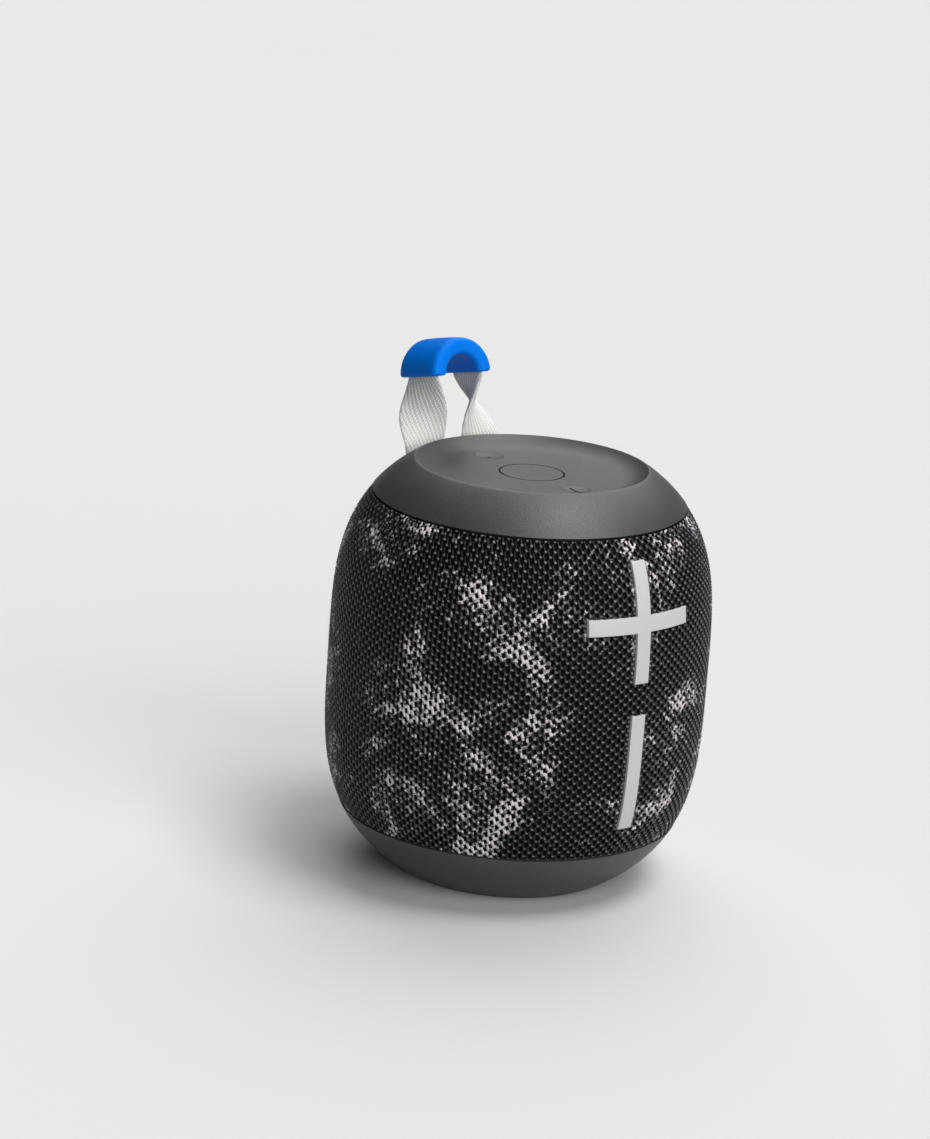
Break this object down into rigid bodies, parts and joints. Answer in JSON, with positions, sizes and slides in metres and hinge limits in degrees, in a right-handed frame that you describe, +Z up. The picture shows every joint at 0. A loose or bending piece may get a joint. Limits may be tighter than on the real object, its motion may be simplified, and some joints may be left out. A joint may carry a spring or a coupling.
{
  "type": "portable speaker",
  "caption": "Compact barrel-shaped waterproof speaker with a knit fabric sleeve, raised volume keys, a dished top with press keys, a charge port door and a webbing carry loop.",
  "frame": {"origin": "centre of the ring that the speaker stands on", "axes": "+Z up along the barrel, -Y to the front with the volume keys, +X to the right seen from the front"},
  "size_m": [0.0952, 0.0955, 0.1285],
  "materials": {
    "cap_skin": "soft-touch moulded elastomer, fine grain",
    "knit_fabric": "open air-mesh knit, dark with a pale mottled print",
    "key_plastic": "satin moulded, pale grey",
    "cage_plastic": "moulded black",
    "light_plastic": "clear moulded light guide",
    "silicone": "moulded silicone",
    "board_laminate": "solder-masked laminate",
    "steel": "plated steel",
    "webbing": "woven off-white webbing",
    "grip_rubber": "satin moulded blue",
    "cell_wrap": "shrink-wrapped can",
    "magnet_iron": "plated ferrite and iron",
    "cone_pulp": "pressed pulp",
    "spider_cloth": "phenolic-dipped cloth",
    "radiator_metal": "black anodised"
  },
  "bodies": {
    "speaker": {"top_cap": "cap_skin", "bottom_cap": "cap_skin", "fabric_sleeve": "knit_fabric", "grille_cage": "cage_plastic", "key_mat": "silicone", "control_board": "board_laminate", "control_switches": "steel", "control_board_screws": "steel", "volume_board": "board_laminate", "volume_switches": "steel", "volume_board_screws": "steel", "strap_bar": "steel", "port_frame": "cap_skin", "door_pin": "steel", "port_seal": "silicone", "charge_socket": "steel", "main_board": "board_laminate", "main_board_chips": "cage_plastic", "main_board_screws": "steel", "base_switch": "steel", "chamber_tub": "cage_plastic", "chamber_lid": "cage_plastic", "lid_gasket": "silicone", "lid_screws": "steel", "battery_cell": "cell_wrap", "battery_pad": "silicone", "front_driver_basket": "steel", "front_driver_magnet": "magnet_iron", "front_driver_surround": "silicone", "front_driver_spider": "spider_cloth", "rear_driver_basket": "steel", "rear_driver_magnet": "magnet_iron", "rear_driver_surround": "silicone", "rear_driver_spider": "spider_cloth", "driver_gaskets": "silicone", "driver_screws": "steel", "front_radiator_frame": "cage_plastic", "front_radiator_surround": "silicone", "rear_radiator_frame": "cage_plastic", "rear_radiator_surround": "silicone"},
    "centre_key": {"centre_key": "cap_skin"},
    "power_key": {"power_key": "cap_skin", "status_light": "light_plastic"},
    "pairing_key": {"pairing_key": "cap_skin"},
    "base_key": {"base_key": "cap_skin"},
    "volume_up_key": {"volume_up_key": "key_plastic"},
    "volume_down_key": {"volume_down_key": "key_plastic"},
    "port_door": {"port_door": "cap_skin"},
    "carry_loop": {"carry_strap": "webbing", "strap_grip": "grip_rubber"},
    "front_cone": {"front_driver_cone": "cone_pulp"},
    "rear_cone": {"rear_driver_cone": "cone_pulp"},
    "front_radiator": {"front_radiator_plate": "radiator_metal"},
    "rear_radiator": {"rear_radiator_plate": "radiator_metal"}
  },
  "joints": [
    {"name": "centre_key_press", "type": "slide", "parent": "speaker", "child": "centre_key", "axis": [0, 0, -1], "range_m": [0, 0.0005], "stiffness_N_per_m": 400},
    {"name": "power_key_press", "type": "slide", "parent": "speaker", "child": "power_key", "axis": [0, 0, -1], "range_m": [0, 0.0005], "stiffness_N_per_m": 300},
    {"name": "pairing_key_press", "type": "slide", "parent": "speaker", "child": "pairing_key", "axis": [0, 0, -1], "range_m": [0, 0.0005], "stiffness_N_per_m": 300},
    {"name": "base_key_press", "type": "slide", "parent": "speaker", "child": "base_key", "axis": [0, 0, 1], "range_m": [0, 0.0005], "stiffness_N_per_m": 400},
    {"name": "volume_up_press", "type": "slide", "parent": "speaker", "child": "volume_up_key", "axis": [0, 1, 0], "range_m": [0, 0.0006], "stiffness_N_per_m": 400},
    {"name": "volume_down_press", "type": "slide", "parent": "speaker", "child": "volume_down_key", "axis": [0, 1, 0], "range_m": [0, 0.0006], "stiffness_N_per_m": 400},
    {"name": "port_door_hinge", "type": "hinge", "parent": "speaker", "child": "port_door", "pos_m": [0, 0.04563, 0.02645], "axis": [1, 0, 0], "range_deg": [0, 110]},
    {"name": "carry_loop_swing", "type": "hinge", "parent": "speaker", "child": "carry_loop", "pos_m": [0, 0.032, 0.096], "axis": [-1, 0, 0], "range_deg": [-14, 59]},
    {"name": "front_cone_travel", "type": "slide", "parent": "speaker", "child": "front_cone", "axis": [0.7071, -0.7071, 0], "range_m": [-0.002, 0.002], "stiffness_N_per_m": 800},
    {"name": "rear_cone_travel", "type": "slide", "parent": "speaker", "child": "rear_cone", "axis": [-0.7071, 0.7071, 0], "range_m": [-0.002, 0.002], "stiffness_N_per_m": 800},
    {"name": "front_radiator_travel", "type": "slide", "parent": "speaker", "child": "front_radiator", "axis": [-0.7071, -0.7071, 0], "range_m": [-0.003, 0.003], "stiffness_N_per_m": 600},
    {"name": "rear_radiator_travel", "type": "slide", "parent": "speaker", "child": "rear_radiator", "axis": [0.7071, 0.7071, 0], "range_m": [-0.003, 0.003], "stiffness_N_per_m": 600}
  ],
  "couplings": [
    {"joint": "rear_cone_travel", "follows": "front_cone_travel", "ratio": 1},
    {"joint": "rear_radiator_travel", "follows": "front_radiator_travel", "ratio": 1}
  ]
}
